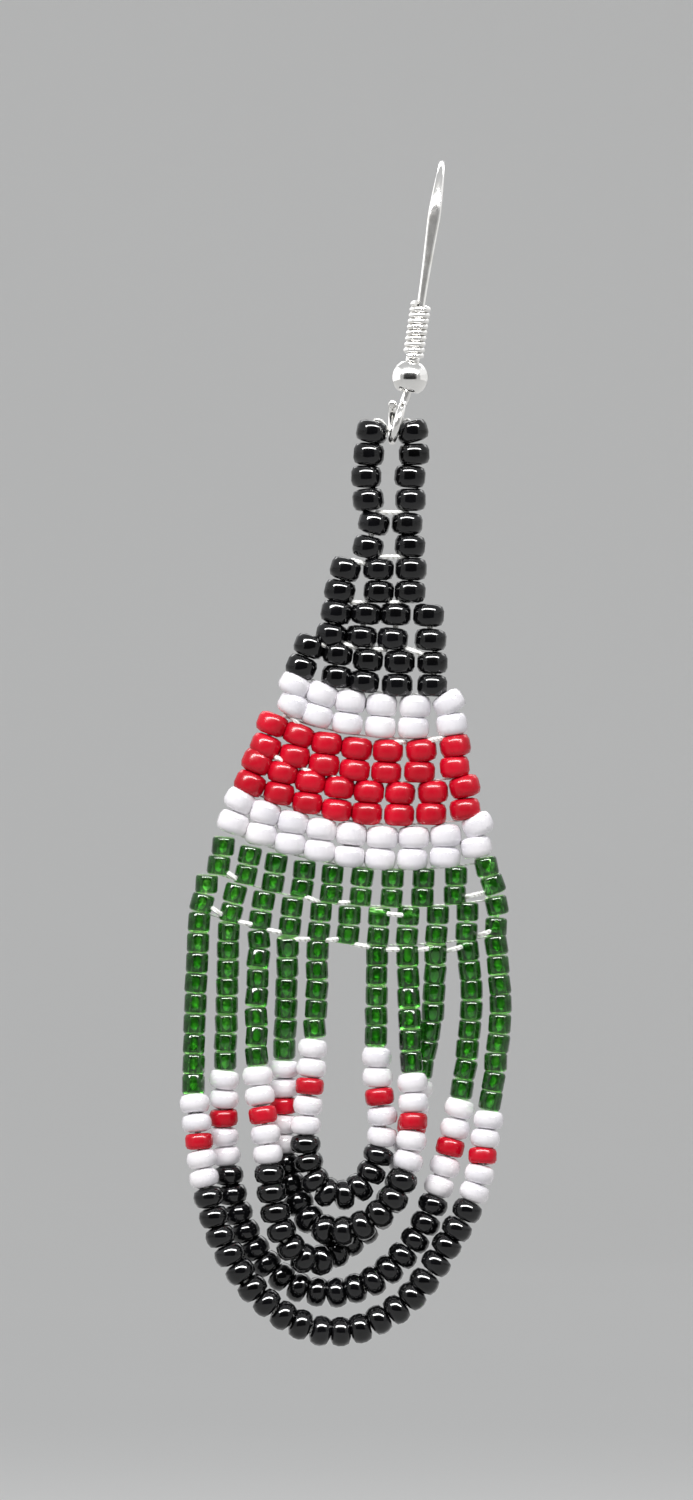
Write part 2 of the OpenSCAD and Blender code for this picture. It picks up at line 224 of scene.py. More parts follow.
# Fringe strings from the outermost in: green beads a side, black beads, heights of the top and the bottom of
# the tip on the left and on the right, and the route between the two columns
TIP = ("white", "white", "red", "white", "white")
STRINGS = [
    (9, 20, (-71.2, -78.3), (-72.4, -79.4),
     [(-19, -0.4, -68), (-18.7, -1, -74), (-17.1, -1.1, -81.7), (-13.4, -0.9, -87.2), (-8.2, -0.4, -89.5),
      (-3, -0.3, -87.4), (0.1, -0.5, -83.2), (2.4, -0.7, -79), (3.5, -0.5, -73.5), (4.5, -0.2, -65)]),
    (8, 17, (-69.3, -76.7), (-71.5, -79.0),
     [(-16.6, 0.4, -68), (-16.6, 0.9, -76), (-15, 1.1, -82), (-12, 1.2, -85.5), (-8.4, 0.9, -86.5),
      (-4.4, 0.4, -85), (-1.3, 0.5, -81.2), (0.2, 0.6, -76.8), (1.4, 0.6, -72), (2.3, 0.3, -64)]),
    (7, 13, (-69.0, -76.5), (-70.0, -77.4),
     [(-14.2, -0.6, -68.5), (-13.5, -1, -74), (-12.9, -1.1, -79.5), (-11.6, -0.8, -83), (-9.4, 0.3, -84.1),
      (-7.3, 1.6, -82.8), (-5.2, 1.8, -81), (-3.5, 1.8, -78.8), (-2.7, 1.7, -75.8), (-1.9, 1.5, -71.2),
      (-0.7, 0.8, -65)]),
    (6, 10, (-68.5, -75.8), (-69.5, -77.0),
     [(-12, 0.8, -66), (-12.1, 1.4, -72), (-11.9, 1.4, -77), (-10.4, 0.6, -80.6), (-7.9, -0.7, -81.8),
      (-5, -0.9, -80.6), (-3.2, -1, -78.2), (-2.2, -1.1, -74), (-2.4, -0.6, -67)]),
    (5, 8, (-66.9, -74.3), (-67.5, -75.2),
     [(-9.7, -0.2, -65), (-10.1, -0.3, -70.5), (-10.5, -0.4, -75), (-9.7, -0.4, -78), (-7.6, 0.2, -79.1),
      (-5.5, 0.5, -77.4), (-4.5, 0.2, -74), (-5, 0, -69)]),
]

chance = random.Random(11)


# Materials. The scales of noise and waves are counts a metre, so 1000 makes a pattern of about a millimetre.

SURFACE = [("Colour", "NodeSocketColor"), ("Roughness", "NodeSocketFloat"), ("Normal", "NodeSocketVector")]


def new_group(name, inputs, outputs):
    """A shader node group with its sockets, and its input and output nodes."""
    group = bpy.data.node_groups.new(name, "ShaderNodeTree")
    for label, kind, value in inputs:
        socket = group.interface.new_socket(label, in_out="INPUT", socket_type=kind)
        socket.default_value = value
    for label, kind in outputs:
        group.interface.new_socket(label, in_out="OUTPUT", socket_type=kind)
    return group, group.nodes.new("NodeGroupInput"), group.nodes.new("NodeGroupOutput")


def node(tree, kind, **settings):
    made = tree.nodes.new(kind)
    for key, value in settings.items():
        setattr(made, key, value)
    return made


def noise(tree, where, scale, detail=3, roughness=0.55):
    made = node(tree, "ShaderNodeTexNoise")
    made.inputs["Scale"].default_value = scale
    made.inputs["Detail"].default_value = detail
    made.inputs["Roughness"].default_value = roughness
    tree.links.new(where, made.inputs["Vector"])
    return made.outputs["Fac"]


def ranged(tree, value, low, high, from_low=0.3, from_high=0.7):
    made = node(tree, "ShaderNodeMapRange", clamp=True)
    made.inputs["From Min"].default_value = from_low
    made.inputs["From Max"].default_value = from_high
    made.inputs["To Min"].default_value = low
    made.inputs["To Max"].default_value = high
    tree.links.new(value, made.inputs["Value"])
    return made.outputs["Result"]


def bumped(tree, height, strength, distance):
    made = node(tree, "ShaderNodeBump")
    made.inputs["Strength"].default_value = strength
    made.inputs["Distance"].default_value = distance
    tree.links.new(height, made.inputs["Height"])
    return made.outputs["Normal"]


def blended(tree, share, low, high):
    """Colour between two others, by a share that varies over the surface."""
    made = node(tree, "ShaderNodeMix", data_type="RGBA")
    tree.links.new(share, made.inputs["Factor"])
    tree.links.new(low, made.inputs["A"])
    tree.links.new(high, made.inputs["B"])
    return made.outputs["Result"]


def roughened(tree, base, marks):
    """Roughness with marks that vary over the surface added to it."""
    made = node(tree, "ShaderNodeMath", operation="ADD")
    tree.links.new(base, made.inputs[0])
    tree.links.new(marks, made.inputs[1])
    return made.outputs["Value"]


def put_out(group, made, colour, roughness, normal):
    """Leads the three results to the group's outputs."""
    group.links.new(colour, made.inputs["Colour"])
    group.links.new(roughness, made.inputs["Roughness"])
    group.links.new(normal, made.inputs["Normal"])
    return group


def poured_glass():
    """Glass of small rocailles: each bead a shade of its own, and a faint ripple from the drawn cane."""
    group, given, made = new_group(
        "poured_glass",
        [("Colour", "NodeSocketColor", (1, 1, 1, 1)), ("Deep Colour", "NodeSocketColor", (0, 0, 0, 1)),
         ("Roughness", "NodeSocketFloat", 0.06)],
        SURFACE,
    )
    where = node(group, "ShaderNodeTexCoord").outputs["Object"]
    shade = ranged(group, noise(group, where, 330, 1), 0, 1)
    smears = ranged(group, noise(group, where, 2600, 4), -0.02, 0.05)
    ripple = noise(group, where, 900, 2)
    return put_out(group, made,
                   blended(group, shade, given.outputs["Deep Colour"], given.outputs["Colour"]),
                   roughened(group, given.outputs["Roughness"], smears),
                   bumped(group, ripple, 0.35, 0.00005))


def drawn_metal():
    """Bright plated wire: fine drawing marks, soft handling marks and a little tarnish."""
    group, given, made = new_group(
        "drawn_metal",
        [("Colour", "NodeSocketColor", (0.9, 0.9, 0.9, 1)),
         ("Tarnish", "NodeSocketColor", (0.4, 0.38, 0.33, 1)),
         ("Roughness", "NodeSocketFloat", 0.12)],
        SURFACE,
    )
    where = node(group, "ShaderNodeTexCoord").outputs["Object"]
    stretch = node(group, "ShaderNodeMapping")
    stretch.inputs["Scale"].default_value = (9000, 9000, 900)
    group.links.new(where, stretch.inputs["Vector"])
    drawing_marks = noise(group, stretch.outputs["Vector"], 1, 2)
    handling_marks = ranged(group, noise(group, where, 1500, 3), -0.03, 0.08)
    stain = ranged(group, noise(group, where, 700, 4), 0, 0.35, 0.52, 0.75)
    return put_out(group, made,
                   blended(group, stain, given.outputs["Colour"], given.outputs["Tarnish"]),
                   roughened(group, given.outputs["Roughness"], handling_marks),
                   bumped(group, drawing_marks, 0.12, 0.00002))


def dressed(name, group, values, settings):
    """A material that takes colour, roughness and normal from a group, and the rest as plain numbers."""
    material = bpy.data.materials.new(name)
    material.use_nodes = True
    tree = material.node_tree
    shader = tree.nodes["Principled BSDF"]
    effect = node(tree, "ShaderNodeGroup")
    effect.node_tree = group
    for label, value in values.items():
        effect.inputs[label].default_value = value
    tree.links.new(effect.outputs["Colour"], shader.inputs["Base Color"])
    tree.links.new(effect.outputs["Roughness"], shader.inputs["Roughness"])
    tree.links.new(effect.outputs["Normal"], shader.inputs["Normal"])
    for label, value in settings.items():
        shader.inputs[label].default_value = value
    return material


def nylon_thread():
    """White beading thread: two fine plies laid round each other, with painted shade in the grooves between
    them.
    """
    group, given, made = new_group(
        "laid_plies",
        [("Colour", "NodeSocketColor", (0.9, 0.9, 0.88, 1)),
         ("Shadow", "NodeSocketColor", (0.55, 0.54, 0.5, 1)),
         ("Roughness", "NodeSocketFloat", 0.4)],
        SURFACE,
    )
    where = node(group, "ShaderNodeTexCoord").outputs["Object"]
    plies = node(group, "ShaderNodeTexWave", wave_type="BANDS", bands_direction="DIAGONAL")
    plies.inputs["Scale"].default_value = 1500
    plies.inputs["Distortion"].default_value = 1.5
    group.links.new(where, plies.inputs["Vector"])
    # The crown of each ply keeps the thread's colour, and the grooves between the plies get the Shadow
    # colour, which is painted shade.
    crown = ranged(group, plies.outputs["Fac"], 0, 1, 0.0, 0.6)
    fluff = ranged(group, noise(group, where, 4000, 2), -0.05, 0.1)
    put_out(group, made,
            blended(group, crown, given.outputs["Shadow"], given.outputs["Colour"]),
            roughened(group, given.outputs["Roughness"], fluff),
            bumped(group, plies.outputs["Fac"], 0.5, 0.00004))
    return dressed("nylon_thread", group, {}, {"Sheen Weight": 0.2})


glass = poured_glass()


def bead_glass(name, colour, deep_colour, roughness, settings):
    values = {"Colour": (*colour, 1), "Deep Colour": (*deep_colour, 1), "Roughness": roughness}
    return dressed(name, glass, values, settings)


OPAQUE = {"IOR": 1.52}
DULLER = {"IOR": 1.52, "Specular IOR Level": 0.28}
CLEAR = {"IOR": 1.52, "Transmission Weight": 1.0}
BEAD_GLASS = {
    "black": bead_glass("black_glass", (0.004, 0.004, 0.005), (0.001, 0.001, 0.001), 0.08, OPAQUE),
    "white": bead_glass("white_glass", (0.84, 0.81, 0.83), (0.72, 0.7, 0.74), 0.09, OPAQUE),
    "red": bead_glass("red_glass", (0.6, 0.003, 0.02), (0.4, 0.001, 0.01), 0.22, DULLER),
    "green": bead_glass("green_glass", (0.017, 0.125, 0.009), (0.007, 0.065, 0.004), 0.05, CLEAR),
}
# A paler, rougher copy of the green glass for the holes and ends of the green beads. The frosting of the ends
# is partly real, but the paler colour is a painted highlight: lime glints at the joints and a light core
# along each hole.
END_GLINT_GLASS = bead_glass("bead_end_glint_glass", (0.78, 0.98, 0.55), (0.5, 0.9, 0.33), 0.4, CLEAR)
THREAD = nylon_thread()
SILVER = dressed("bright_wire", drawn_metal(),
                 {"Colour": (0.86, 0.85, 0.83, 1), "Tarnish": (0.5, 0.47, 0.41, 1), "Roughness": 0.12},
                 {"Metallic": 1.0})


# Modelling

def start_clean():
    if bpy.context.object and bpy.context.object.mode != "OBJECT":
        bpy.ops.object.mode_set(mode="OBJECT")
    bpy.ops.object.select_all(action="DESELECT")


def choose(obj, kind, test):
    """In edit mode, selects only the vertices, edges or faces of obj that pass the test."""
    bpy.ops.mesh.select_mode(type={"verts": "VERT", "edges": "EDGE", "faces": "FACE"}[kind])
    bpy.ops.mesh.select_all(action="DESELECT")
    form = bmesh.from_edit_mesh(obj.data)
    for part in getattr(form, kind):
        if test(part):
            part.select_set(True)
    form.select_flush_mode()
    bmesh.update_edit_mesh(obj.data)


def off_axis(vertex):
    """Distance of a vertex from the Z axis."""
    return math.hypot(vertex.co.x, vertex.co.y)


def seed_bead(radius, length, hole, roll, sides=12):
    """One bead about Z: a drum with a drilled hole and its edges rolled over."""
    start_clean()
    bpy.ops.mesh.primitive_cylinder_add(vertices=sides, radius=radius, depth=length, end_fill_type="NGON")
    bead = bpy.context.object
    bpy.ops.object.mode_set(mode="EDIT")
    choose(bead, "faces", lambda f: abs(f.normal.z) > 0.9)
    bpy.ops.mesh.inset(thickness=radius - hole)
    bpy.ops.mesh.delete(type="FACE")
    choose(bead, "edges", lambda e: all(off_axis(v) < hole * 1.1 for v in e.verts))
    bpy.ops.mesh.bridge_edge_loops()
    choose(bead, "edges", lambda e: all(off_axis(v) > radius * 0.98 for v in e.verts)
           and abs(e.verts[0].co.z - e.verts[1].co.z) < 0.01)
    bpy.ops.mesh.bevel(offset=roll, segments=2, profile=0.5)
    bpy.ops.mesh.select_all(action="SELECT")
    bpy.ops.mesh.normals_make_consistent(inside=False)
    bpy.ops.object.mode_set(mode="OBJECT")
    bpy.ops.object.shade_smooth()
    bead.select_set(False)
    bead.hide_render = True
    bead.data.materials.append(None)
    return bead


def with_glinting_ends(bead, hole):
    """Gives the hole and the two ends of a bead a paler, rougher glass of their own, which paints lime glints
    at the joints and a light core along the hole.
    """
    bead.data.materials.append(END_GLINT_GLASS)
    for face in bead.data.polygons:
        if math.hypot(*face.center.xy) < hole * 1.02 or abs(face.normal.z) > 0.6:
            face.material_index = 1
    return bead


def bead_at(form, colour, centre, axis, slack=1.6, fill=1):
    """A copy of a bead at its place on a thread, a little off true as strung beads are."""
    tilt = Matrix.Rotation(math.radians(chance.gauss(0, slack)), 4, "X")
    tilt = Matrix.Rotation(math.radians(chance.gauss(0, slack)), 4, "Y") @ tilt
    size = Matrix.Diagonal((chance.uniform(*WIDTH_SPREAD), chance.uniform(*WIDTH_SPREAD),
                            fill * chance.uniform(*LENGTH_SPREAD), 1))
    spin = Matrix.Rotation(chance.uniform(0, math.tau), 4, "Z")
    offset = Vector([chance.gauss(0, PLACE_SPREAD) for _ in range(3)])
    upright = axis.to_track_quat("Z", "Y").to_matrix().to_4x4()
    copy = bpy.data.objects.new("bead", form.data.copy())
    copy.data.transform(Matrix.Translation(centre + offset) @ upright @ tilt @ size @ spin)
    copy.data.materials[0] = BEAD_GLASS[colour]
    bpy.context.scene.collection.objects.link(copy)
    return copy


def joined(name, parts):
    start_clean()
    for part in parts:
        part.select_set(True)
    bpy.context.view_layer.objects.active = parts[0]
    bpy.ops.object.join()
    whole = bpy.context.object
    whole.name = name
    whole.data.name = name
    whole.select_set(False)
    return whole


def finished(obj, body, slot, *nodes):
    """Brings a piece to metres and lets it ride on its body and stand for its solids."""
    obj.data.transform(Matrix.Diagonal((MM, MM, MM, 1)))
    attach(obj, body)
    if nodes:
        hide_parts(*nodes)
    return obj


def drawn(name, runs, material, sides=8):
    """Round wire or thread along one or more runs of (point, radius), with its ends closed.

    A bevelled curve has four sides and two more for each step of its resolution.
    """
    start_clean()
    curve = bpy.data.curves.new(name, "CURVE")
    curve.dimensions = "3D"
    curve.bevel_depth = 1
    curve.bevel_resolution = sides // 2 - 2
    curve.use_fill_caps = True
    curve.twist_mode = "MINIMUM"
    for run in runs:
        spline = curve.splines.new("POLY")
        spline.points.add(len(run) - 1)
        for point, (place, radius) in zip(spline.points, run):
            point.co = (*place, 1)
            point.radius = radius
        spline.use_smooth = True
    wire = bpy.data.objects.new(name, curve)
    bpy.context.scene.collection.objects.link(wire)
    bpy.context.view_layer.objects.active = wire
    wire.select_set(True)
    bpy.ops.object.convert(target="MESH")
    wire = bpy.context.object
    wire.data.materials.clear()
    wire.data.materials.append(material)
    bpy.ops.object.mode_set(mode="EDIT")
    bpy.ops.mesh.select_all(action="SELECT")
    bpy.ops.mesh.remove_doubles(threshold=0.0005)
    bpy.ops.mesh.normals_make_consistent(inside=False)
    bpy.ops.object.mode_set(mode="OBJECT")
    bpy.ops.object.shade_smooth_by_angle(angle=math.radians(50))
    wire.select_set(False)
    return wire


def even_run(places, radius):
    """A run of wire or thread that has the same radius all along."""
    return [(place, radius) for place in places]


def rounded_end(run, steps=4):
    """Rounds off the last point of a run of (point, radius)."""
    (before, _), (end, radius) = run[-2:]
    way = (Vector(end) - Vector(before)).normalized()
    cap = [(Vector(end) + way * radius * math.sin(a), radius * max(math.cos(a), 0.08))
           for a in (math.pi / 2 * i / steps for i in range(1, steps + 1))]
    return run + cap


# Ear wire

def to_hook(form):
    form.data.transform(Matrix.Rotation(math.radians(HOOK_LEAN), 4, "Y"))
    return form


def flattening(y, z):
    """Share of flattening of the wire: full where the front leg meets the bend, and none at both ends."""
    if z > BEND_Z:
        turn = math.atan2(z - BEND_Z, -y)
        return math.cos(math.pi / 2 * turn / BLADE_END_TURN)**2 if turn < BLADE_END_TURN else 0
    if y < 0 and z > BLADE_START_Z:
        return ((z - BLADE_START_Z) / (BEND_Z - BLADE_START_Z))**1.5
    return 0


def half_thickness(y, z):
    return WIRE_R + (BLADE_T / 2 - WIRE_R) * flattening(y, z)


def half_width(y, z):
    return WIRE_R + (BLADE_W / 2 - WIRE_R) * flattening(y, z)


def rear_leg():
    """The plain rear leg, from its rounded tip up to the bend."""
    flare = math.radians(REAR_FLARE)
    flare_r = REAR_LEG / flare
    run = []
    for i in range(1, REAR_SECTIONS + 1):
        a = flare * i / REAR_SECTIONS
        y, z = BEND_R + flare_r * (1 - math.cos(a)), BEND_Z - flare_r * math.sin(a)
        run.append((Vector((0, y, z)), WIRE_R))
    return rounded_end(run)[::-1]


def bend_and_blade():
    """The bend at the top, and the flattened front leg down to the coil."""
    run = []
    for i in range(BEND_SECTIONS + 1):
        a = math.pi * i / BEND_SECTIONS
        y, z = BEND_R * math.cos(a), BEND_Z + BEND_R * math.sin(a)
        run.append((Vector((0, y, z)), half_thickness(y, z)))
    for i in range(1, BLADE_SECTIONS + 1):
        z = BEND_Z + (BLADE_START_Z - BEND_Z) * i / BLADE_SECTIONS
        run.append((Vector((0, FRONT_Y, z)), half_thickness(FRONT_Y, z)))
    return run


def stem(crown):
    """The straight wire through the coil and the ball, and its soft turn towards the crown of the eye."""
    corner = Vector((0, FRONT_Y, BALL_Z - BALL_FLAT))
    turn_start = Vector((0, FRONT_Y, BALL_Z - BALL_FLAT + STEM_TURN))
    turn_end = corner.lerp(crown, 0.5)
    places = [Vector((0, FRONT_Y, COIL_Z)), Vector((0, FRONT_Y, BALL_Z)), turn_start]
    for t in (0.25, 0.5, 0.75):
        places.append((1 - t)**2 * turn_start + 2 * t * (1 - t) * corner + t * t * turn_end)
    places += [turn_end, corner.lerp(crown, 0.8)]
    return even_run(places, WIRE_R)


def eye_ring(eye, tilt):
    """The round eye from its crown to its cut end. Its two sides pass each other at the top."""
    run = []
    for i in range(EYE_SECTIONS + 1):
        a = math.radians(EYE_START + (EYE_END - EYE_START) * i / EYE_SECTIONS)
        side = 1 if a < math.pi else -1
        height = EYE_R * (1 + math.cos(a))
        run.append((Vector((eye.x + side * height * math.sin(tilt), FRONT_Y - EYE_R * math.sin(a),
                            eye.z + height * math.cos(tilt))), WIRE_R))
    end = run[-1][0]
    way = (end - run[-2][0]).normalized()
    return run + [(end + way * reach, WIRE_R * share) for reach, share in CUT_END]


def ear_wire():
    lean = math.radians(HOOK_LEAN)
    eye_low = SWING.z - BUNDLE_R - PIECE_GAP - WIRE_R
    eye = Vector((SWING.x * math.cos(lean) - eye_low * math.sin(lean), FRONT_Y,
                  SWING.x * math.sin(lean) + eye_low * math.cos(lean)))
    tilt = math.asin(EYE_SIDE_STEP / 2 / (2 * EYE_R))
    crown = Vector((eye.x + EYE_SIDE_STEP / 2, FRONT_Y, eye.z + 2 * EYE_R * math.cos(tilt)))
    path = rear_leg() + bend_and_blade() + stem(crown) + eye_ring(eye, tilt)
    wire = drawn("bright_ear_wire", [path], SILVER, sides=16)
    for v in wire.data.vertices:
        v.co.x *= half_width(v.co.y, v.co.z) / half_thickness(v.co.y, v.co.z)
    return finished(to_hook(wire), "hook", "silver_wire", "ear_wire")


def wound_coil():
    start_clean()
    middle = COIL_R - COIL_WIRE / 2
    bpy.ops.mesh.primitive_circle_add(vertices=COIL_SIDES, radius=COIL_WIRE_R, location=(middle, 0, 0),
                                      rotation=(math.pi / 2, 0, 0))
    coil = bpy.context.object
    bpy.ops.object.transform_apply(location=True, rotation=True, scale=True)
    turn = coil.modifiers.new("turns", "SCREW")
    turn.axis = "Z"
    turn.iterations = COIL_TURNS - 1
    turn.screw_offset = COIL_WIRE
    turn.steps = turn.render_steps = COIL_STEPS
    turn.use_merge_vertices = False
    bpy.ops.object.modifier_apply(modifier="turns")
    bpy.ops.object.mode_set(mode="EDIT")
    bpy.ops.mesh.select_all(action="SELECT")
    bpy.ops.mesh.fill_holes(sides=0)
    bpy.ops.mesh.normals_make_consistent(inside=False)
    bpy.ops.object.mode_set(mode="OBJECT")
    bpy.ops.object.shade_smooth_by_angle(angle=math.radians(50))
    lift = Matrix.Translation((0, FRONT_Y, COIL_Z + COIL_WIRE / 2))
    coil.data.transform(lift @ Matrix.Rotation(COIL_START, 4, "Z"))
    neck = seed_bead(NECK_R, NECK_LENGTH + COIL_WIRE / 2, NECK_HOLE_R, NECK_ROLL, sides=24)
    neck.hide_render = False
    neck.data.transform(Matrix.Translation((0, FRONT_Y, COIL_Z - NECK_LENGTH / 2 + COIL_WIRE / 4)))
    coil = joined("wound_wire_coil", [coil, neck])
    coil.data.materials.clear()
    coil.data.materials.append(SILVER)
    return finished(to_hook(coil), "hook", "silver_wire", "wire_coil")


def drilled_ball():
    start_clean()
    bpy.ops.mesh.primitive_uv_sphere_add(segments=40, ring_count=24, radius=BALL_R)
    ball = bpy.context.object
    bpy.ops.object.mode_set(mode="EDIT")
    for side in (1, -1):
        bpy.ops.mesh.select_all(action="SELECT")
        bpy.ops.mesh.bisect(plane_co=(0, 0, side * BALL_FLAT), plane_no=(0, 0, side), clear_outer=True,
                            use_fill=False)
    shrink = BALL_BORE_R / math.sqrt(BALL_R**2 - BALL_FLAT**2)
    choose(ball, "edges", lambda e: e.is_boundary)
    bpy.ops.mesh.extrude_edges_move(TRANSFORM_OT_translate={"value": (0, 0, 0)})
    bpy.ops.transform.resize(value=(shrink, shrink, 1), center_override=(0, 0, 0))
    bpy.ops.mesh.bridge_edge_loops()
    choose(ball, "edges", lambda e: all(abs(abs(v.co.z) - BALL_FLAT) < 0.001 for v in e.verts)
           and abs(off_axis(e.verts[0]) - off_axis(e.verts[1])) < 0.01)
    bpy.ops.mesh.bevel(offset=BALL_ROLL, segments=3)
    bpy.ops.mesh.select_all(action="SELECT")
    bpy.ops.mesh.normals_make_consistent(inside=False)
    bpy.ops.object.mode_set(mode="OBJECT")
    bpy.ops.object.shade_smooth()
    ball.name = "bright_drilled_ball"
    ball.data.materials.clear()
    ball.data.materials.append(SILVER)
    ball.data.transform(Matrix.Translation((0, FRONT_Y, BALL_Z)))
    return finished(to_hook(ball), "hook", "silver_wire", "wire_ball")


# Panel

def bow(a, b, c, t):
    """Value of a parabola through a at 0, b at a half and c at 1."""
    return a + (c - a) * t + (a + c - 2 * b) * (2 * t * t - 2 * t)


def lean_at(t):
    """Lean of a column, by its share of the way from the left end of its row to the right one."""
    return math.radians(LEAN_LEFT * (1 - t)**2 + LEAN_RIGHT * t)


def columns(k):
    """Middle and upward direction of each column of row k."""
    left, middle, right, _, _ = ROWS[k]
    found = []
    for i in range(k + 2):
        t = i / (k + 1)
        lean = lean_at(t)
        place = Vector((bow(left[0], middle[0], right[0], t), FRONT_Y, bow(left[1], middle[1], right[1], t)))
        found.append((place, Vector((math.sin(lean), 0, math.cos(lean)))))
    return found


def panel_beads(k):
    colour, height = ROWS[k][3:]
    form = {"green": green_bead, "white": white_bead}.get(colour, opaque_bead)
    beads = []
    for column, (place, up) in enumerate(columns(k)):
        for side in (UPPER, LOWER):
            lean, dx, dz = ASKEW.get((k, column, side), (0, 0, 0))
            axis = Matrix.Rotation(math.radians(lean), 3, "Y") @ up
            centre = place + up * height / 2 * side + Vector((dx, 0, dz))
            beads.append(bead_at(form, colour, centre, axis))
    return beads


def woven_band(name, rows, slot, solid):
    return finished(joined(name, [bead for k in rows for bead in panel_beads(k)]), "drop", slot, solid)


def column_thread(place, up, height):
    reach = height - THREAD_INSET
    return even_run([place + up * reach * s for s in (1, 0.5, 0, -0.5, -1)], HOLE_THREAD_R)


def hidden_stitch(start, end):
    """A stitch from the foot of one column to the foot of the next, behind the beads."""
    back = Vector((chance.uniform(-HIDDEN_SWAY, HIDDEN_SWAY), HIDDEN_BACK, 0))
    return even_run([start, start.lerp(end, 0.3) + back, start.lerp(end, 0.7) + back, end], HIDDEN_R)


def shown_stitch(start, end):
    """A stitch that comes out between two columns, lies before them and goes in again."""
    out = Vector((0, -STITCH_OUT, 0))
    return even_run([start.lerp(end, -0.35), start + out * 0.7, start.lerp(end, 0.3) + out,
                     start.lerp(end, 0.7) + out, end + out * 0.7, start.lerp(end, 1.35)], STITCH_R)


def panel_threads():
    """Threads through the columns, the stitches behind them, and the ones that show at the front."""
    runs = []
    for k in range(len(ROWS)):
        row = columns(k)
        height = ROWS[k][4]
        runs += [column_thread(place, up, height) for place, up in row]
        feet = [place - up * (height - STITCH_INSET) for place, up in row]
        runs += [hidden_stitch(start, end) for start, end in zip(feet, feet[1:])]
    for (x_a, z_a), (x_b, z_b) in SHOWN_STITCHES:
        runs.append(shown_stitch(Vector((x_a, FRONT_Y, z_a)), Vector((x_b, FRONT_Y, z_b))))
    return finished(drawn("panel_stitches", runs, THREAD, sides=6), "drop", "thread")


# Bead loop under the eye

def top_loop():
    beads = []
    for stack in STACKS:
        pitch = (LOOP_TOP_Z - LOOP_BOTTOM_Z) / len(stack)
        for i, (x, lean) in enumerate(stack):
            place = Vector((x, FRONT_Y, LOOP_TOP_Z - pitch * (i + 0.5)))
            axis = Vector((math.sin(math.radians(lean)), 0, math.cos(math.radians(lean))))
            beads.append(bead_at(opaque_bead, "black", place, axis, 1))
    return finished(joined("black_loop_beads", beads), "drop", "black_beads", "top_loop")


def eye_thread():
    """Strands that come out of one stack, dip through the eye and go down into the other stack."""
    way = STRAND_WAY + [(0, STRAND_LOW)] + [(-x, z) for x, z in reversed(STRAND_WAY)]
    runs = []
    for turn in (-1, 0, 1):
        line = []
        for x, z in way:
            rise = STRAND_RISE * abs(turn) * math.exp(-(x * 2)**2)
            line.append(SWING + Vector((x, turn * STRAND_SPACING, z + rise)))
        runs.append(even_run(smooth_through(line, 4), STRAND_R))
    return finished(drawn("eye_thread_strands", runs, THREAD, sides=8), "drop", "thread", "loop_thread")


# Fringe

def smooth_through(points, steps=16):
    """Points of a smooth curve through the given ones."""
    points = [Vector(p) for p in points]
    padded = [2 * points[0] - points[1], *points, 2 * points[-1] - points[-2]]
    line = []
    for a, b, c, d in zip(padded, padded[1:], padded[2:], padded[3:]):
        square = 2 * a - 5 * b + 4 * c - d
        cube = 3 * b - a - 3 * c + d
        for s in range(steps):
            t = s / steps
            line.append((2 * b + (c - a) * t + square * t**2 + cube * t**3) / 2)
    return line + [points[-1]]


def measured(line):
    """Running length of a line at each of its points."""
    runs = [0]
    for a, b in zip(line, line[1:]):
        runs.append(runs[-1] + (b - a).length)
    return runs


def at_length(line, runs, d):
    """Point of a line at the running length d."""
    for i in range(1, len(line)):
        if runs[i] >= d or i == len(line) - 1:
            t = (d - runs[i - 1]) / (runs[i] - runs[i - 1])
            return line[i - 1].lerp(line[i], t)


def string_line(number):
    """The way of a string from the foot of one column of the last row to the foot of its partner."""
    last = columns(len(ROWS) - 1)
    foot = ROWS[-1][4] - STRING_INSET
    ends = [last[i][0] - last[i][1] * foot for i in (number, len(last) - 1 - number)]
    route = [Vector((x, FRONT_Y + y, z)) for x, y, z in STRINGS[number][4]]
    return smooth_through([ends[0], *route, ends[1]])


def length_at_height(line, runs, z):
    """Length of thread at which a line that goes down first passes height z."""
    for i in range(1, len(line)):
        if line[i].z <= z:
            return runs[i - 1] + (runs[i] - runs[i - 1]) * (line[i - 1].z - z) / (line[i - 1].z - line[i].z)


def fringe_string(number):
    greens, blacks, left_tip, right_tip, _ = STRINGS[number]
    line = string_line(number)
    runs = measured(line)
    whole = runs[-1]
    left = [length_at_height(line, runs, z) for z in left_tip]
    back = line[::-1]
    right = [whole - length_at_height(back, measured(back), z) for z in right_tip]
    stretches = [(["green"] * greens, 0, left[0]), (TIP, *left), (["black"] * blacks, left[1], right[1]),
                 (TIP, right[1], right[0]), (["green"] * greens, right[0], whole)]
    beads = []
    for order, d, end in stretches:
        stretch = (end - d) / sum(FRINGE_PITCH[colour] for colour in order)
        for colour in order:
            step = FRINGE_PITCH[colour] * stretch
            a, b = at_length(line, runs, d), at_length(line, runs, d + step)
            form = {"green": green_bead, "red": tip_bead}.get(colour, fringe_bead)
            beads.append(bead_at(form, colour, a.lerp(b, 0.5), (b - a).normalized(), 3, stretch))
            d += step
    string = joined(f"fringe_string_{number + 1}", beads)
    return finished(string, "drop", "black_beads", f"fringe_loop_{number + 1}")


def fringe_threads():
    runs = []
    for number in range(len(STRINGS)):
        line = string_line(number)
        lengths = measured(line)
        count = int(lengths[-1] / THREAD_STEP)
        places = [at_length(line, lengths, lengths[-1] * i / count) for i in range(count + 1)]
        runs.append(even_run(places, HOLE_THREAD_R))
    return finished(drawn("fringe_threads", runs, THREAD, sides=6), "drop", "thread")


